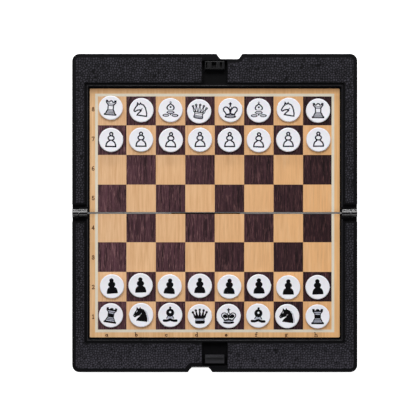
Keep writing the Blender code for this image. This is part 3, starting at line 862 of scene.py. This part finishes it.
def panel_outline(side, notch_depth):
    """One half's grained panel at +X (side 1) or -X, drawn in the far half's place."""
    inner = LEDGE_REACH + PANEL_MARGIN
    outer = CASE_HALF_WIDTH - BORDER_WIDTH
    latch = LATCH_HALF_WIDTH + PANEL_MARGIN
    corner = (CASE_HALF_WIDTH - CORNER_RADIUS, HALF_LENGTH - CORNER_RADIUS)
    rounded = arc(corner, CORNER_RADIUS - BORDER_WIDTH, 0.0, math.pi / 2, 6)
    outline = [(inner, PANEL_START), (outer, PANEL_START), *rounded]
    if side > 0:
        outline += reversed(notch_side(NOTCH_FLAT[1], notch_depth, 1))
        return [*outline, (latch, outline[-1][1]), (latch, inner), (inner, inner)]
    outline += [(latch, HALF_LENGTH - BORDER_WIDTH), (latch, inner), (inner, inner)]
    return [(-x, y) for x, y in outline]


def grain_panel(name, body, side, notch_depth, turn, material, seed):
    """A closed skin of pebbled grain over one of the rim's four panels, fading at its edge."""
    outline = panel_outline(side, notch_depth)
    low = np.min(outline, axis=0) - GRAIN_PITCH
    high = np.max(outline, axis=0) + GRAIN_PITCH
    drawing = Drawing(low, high, GRAIN_PITCH)
    field = drawing.outline(outline)

    def relief(points):
        nearest = ((points - low) / GRAIN_PITCH).round().astype(int)
        column, row = np.clip(nearest, 0, np.array(field.shape) - 1).T
        inward = np.clip(-field[column, row] / GRAIN_EDGE, 0.0, 1.0)
        height = pebble_height(points, seed)
        return GRAIN_TOP - GRAIN_DEPTH * (1 - height * inward)

    shape = bmesh.new()
    add_slab(shape, drawing, field, GRAIN_FOOT, GRAIN_TOP, relief=relief)
    add_piece(name, finish_mesh(name, shape, material), body, turn=turn)


def ledge_bead(name, body, turn, material):
    """A fine bead along the three sides of a half's ledge."""
    shape = bmesh.new()
    rings = []
    for side, at_corner in ((-1, False), (-1, True), (1, True), (1, False)):
        ring = []
        for out, up in BEAD_SECTION:
            reach = BEAD_REACH + out
            place = Vector((side * reach, reach if at_corner else BEAD_START, LEDGE_HEIGHT + up))
            ring.append(shape.verts.new(place * MM))
        rings.append(ring)
    for ring, following in zip(rings, rings[1:]):
        for index in range(len(ring)):
            after = (index + 1) % len(ring)
            shape.faces.new((ring[index], ring[after], following[after], following[index]))
    shape.faces.new(rings[0])
    shape.faces.new(rings[-1])
    add_piece(name, finish_mesh(name, shape, material), body, turn=turn)


def dress_case():
    """Puts the ledge beads and the grained panels on both halves of the case."""
    # The bead's plastic is paler than the case's: painted highlight along the ledge's edge.
    bead = latch_black("bead_plastic_and_painted_highlight", (18, 17, 20), (32, 31, 35), 0.4)
    ledge_bead("far_ledge_bead", "far_half", 0.0, bead)
    ledge_bead("near_ledge_bead", "near_half", math.pi, bead)
    halves = (
        ("near", NEAR_NOTCH_DEPTH, math.pi, leather_grain("near_leather_grain", NEAR_EDGE_PAINTED_LIGHT)),
        ("far", FAR_NOTCH_DEPTH, 0.0, leather_grain("far_leather_grain", 0.0)),
    )
    for half, depth, turn, grain in halves:
        for seed, (label, side) in zip(GRAIN_SEEDS[half], (("left", -1), ("right", 1))):
            drawn_side = side if half == "far" else -side
            name = f"{half}_{label}_leather_grain"
            grain_panel(name, f"{half}_half", drawn_side, depth, turn, grain, seed)


# ---------------------------------------------------------------- labels


def glyph_strokes():
    """Each label as strokes, in millimetres at size 1, about the middle of its line of print."""
    half = math.pi / 2
    turn = 4 * half
    return {
        "a": [arc((0.0, -0.1), 0.42, 0.0, turn), [(0.45, 0.35), (0.45, -0.55), (0.65, -0.55)]],
        "b": [[(-0.65, 1.15), (-0.45, 1.15), (-0.45, -0.55)], arc((0.0, -0.1), 0.43, 0.0, turn)],
        "c": [arc((0.0, -0.1), 0.47, 0.5, turn - 0.7)],
        "d": [[(0.2, 1.15), (0.45, 1.15), (0.45, -0.55), (0.65, -0.55)],
              arc((0.0, -0.1), 0.43, 0.0, turn)],
        "e": [[(-0.45, -0.05), (0.45, -0.05), *arc((0.0, -0.1), 0.46, 0.1, turn - 0.7)[1:]]],
        "f": [[*arc((0.25, 0.8), 0.32, 0.5, 2 * half), (-0.07, -0.55)], [(-0.4, 0.3), (0.4, 0.3)],
              [(-0.35, -0.57), (0.25, -0.57)]],
        "g": [arc((-0.02, 0.08), 0.36, 0.0, turn), [(0.3, 0.38), (0.6, 0.45)],
              [(-0.1, -0.3), (-0.25, -0.45), (0.35, -0.6)], arc((0.05, -0.85), 0.36, 1.0, turn - 0.6)],
        "h": [[(-0.65, 1.15), (-0.42, 1.15), (-0.42, -0.55)],
              [*arc((0.02, -0.05), 0.43, 2 * half, 0.0), (0.45, -0.55)],
              [(-0.65, -0.57), (-0.2, -0.57)], [(0.22, -0.57), (0.68, -0.57)]],
        "1": [[(-0.35, 0.75), (0.02, 1.05), (0.02, -0.95)], [(-0.35, -0.98), (0.4, -0.98)]],
        "2": [[*arc((0.0, 0.5), 0.5, 2 * half, -0.4), (-0.5, -0.95), (0.55, -0.95), (0.6, -0.65)]],
        "3": [arc((0.0, 0.55), 0.45, 2.2 * half, -0.9 * half),
              arc((0.0, -0.4), 0.55, 1.1 * half, -2.2 * half)],
        "4": [[(0.25, -0.95), (0.25, 1.05), (-0.6, -0.35), (0.6, -0.35)]],
        "5": [[(0.5, 1.0), (-0.35, 1.0), (-0.42, 0.2), *arc((0.0, -0.35), 0.58, 1.6 * half, -1.8 * half)]],
        "6": [arc((0.0, -0.4), 0.52, 0.0, turn), arc((0.55, 0.0), 1.08, 1.1 * half, 2.2 * half)],
        "7": [[(-0.5, 0.7), (-0.5, 1.0), (0.55, 1.0), (-0.1, -0.95)]],
        "8": [arc((0.0, 0.55), 0.42, 0.0, turn), arc((0.0, -0.42), 0.53, 0.0, turn)],
    }


def label_mesh(strokes, size, ink):
    across, up = LABEL_REACH
    drawing = Drawing((-across, -up), (across, up), LABEL_PITCH)
    scaled = [[(x * size, y * size) for x, y in stroke] for stroke in strokes]
    field = join(*(drawing.line(stroke, LABEL_STROKE) for stroke in scaled))
    shape = bmesh.new()
    add_slab(shape, drawing, field, 0.0, LABEL_THICKNESS)
    return finish_mesh("label", shape, ink, smooth=False)


def dress_board():
    """Prints the file letters along the near edge and the rank numbers up the left side."""
    ink = printing_ink("label_ink", (70, 36, 20), (92, 54, 32))
    strokes = glyph_strokes()
    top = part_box("near_board_print")[1].z
    for index, letter in enumerate(FILES):
        mesh = label_mesh(strokes[letter], LETTER_SIZE, ink)
        at = ((LETTER_START + index * LETTER_SPACING) * MM, LETTER_LINE * MM, top)
        add_piece(f"label_{letter}", mesh, "near_half", at)
    for rank in range(1, 9):
        from_seam = rank - 4.5
        body = "far_half" if from_seam > 0 else "near_half"
        mesh = label_mesh(strokes[str(rank)], NUMBER_SIZE, ink)
        at = (NUMBER_LINE * MM, from_seam * SQUARE_LENGTH * MM, top)
        add_piece(f"label_{rank}", mesh, body, at)


# ---------------------------------------------------------------- CAD nodes that stay visible


def repaint(material, *nodes):
    for name in nodes:
        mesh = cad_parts[name].data
        mesh.materials.clear()
        mesh.materials.append(material)


def repaint_frame():
    repaint(moulded_black(), "near_half_shell", "far_half_shell")
    repaint(latch_black("tongue_plastic", (28, 27, 31), (42, 41, 46), 0.5), "latch_tongue")
    repaint(latch_black("catch_plastic", (7, 7, 9), (15, 14, 17), 0.25), "latch_catch")
    repaint(printed_board(), "near_board_print", "far_board_print")
    sheet = brushed_steel("sheet_steel", (178, 180, 184), 0.05)
    repaint(sheet, "near_steel_sheet", "far_steel_sheet")
    repaint(brushed_steel("pin_steel", (186, 188, 192), 0.1), "left_hinge_pin", "right_hinge_pin")


# ---------------------------------------------------------------- studio


def lit_floor():
    """A pale table that glows, like a lit sweep, but only dimly under the seam's narrow gap, as a painted
    shadow.
    """
    shape = bmesh.new()
    bmesh.ops.create_grid(shape, x_segments=12, y_segments=12, size=FLOOR_HALF_WIDTH)
    table = Finish("pale_floor", Roughness=0.8)
    cloud = table.noise(table.place, 0.01, 2)
    table.drive("Base Color", table.blend(cloud, rgb(236, 236, 236), rgb(242, 242, 242)))
    table.shader.inputs["Emission Color"].default_value = (1.0, 1.0, 1.0, 1.0)
    x, y, _ = table.axes(table.place)
    # Painted shadow: the floor glows only dimly in a strip under the seam.
    along_fade, away_fade = SEAM_SHADOW_FADES
    along = table.spread(table.math("ABSOLUTE", x), *along_fade, 1.0, 0.0)
    away = table.spread(table.math("ABSOLUTE", y), *away_fade, 1.0, 0.0)
    painted_seam_shadow = table.math("MULTIPLY", along, away)
    table.drive("Emission Strength", table.spread(painted_seam_shadow, 0.0, 1.0, FLOOR_GLOW, SEAM_SHADOW_GLOW))
    floor = bpy.data.objects.new("floor", finish_mesh("floor", shape, table.material, smooth=False))
    bpy.context.scene.collection.objects.link(floor)
    floor.location.z = -FLOOR_DROP


def softbox(name, at, width, height, power):
    """A rectangular light that points at the middle of the board."""
    light = bpy.data.lights.new(name, "AREA")
    light.shape = "RECTANGLE"
    light.size, light.size_y = width, height
    light.energy = power
    lamp = bpy.data.objects.new(name, light)
    bpy.context.scene.collection.objects.link(lamp)
    lamp.location = at
    lamp.rotation_euler = (-Vector(at)).to_track_quat("-Z", "Y").to_euler()


def studio():
    world = bpy.data.worlds.new("studio")
    world.use_nodes = True
    sky = world.node_tree.nodes["Background"]
    sky.inputs["Color"].default_value = (1.0, 1.0, 1.0, 1.0)
    sky.inputs["Strength"].default_value = SKY_STRENGTH
    bpy.context.scene.world = world
    bpy.context.scene.view_settings.view_transform = "Standard"
    for name, setting in LIGHTS.items():
        softbox(name, *setting)


def overhead_camera():
    """A long lens straight above, framed a little left of and beyond the middle of the case."""
    camera = bpy.data.cameras.new("camera")
    camera.lens = camera.sensor_width * (CAMERA_AT[2] - RIM_HEIGHT) / VIEW_WIDTH
    camera.clip_end = 10.0
    stand = bpy.data.objects.new("camera", camera)
    bpy.context.scene.collection.objects.link(stand)
    stand.location = CAMERA_AT
    bpy.context.scene.camera = stand


repaint_frame()
dress_case()
dress_board()
dress_discs()
lit_floor()
studio()
overhead_camera()
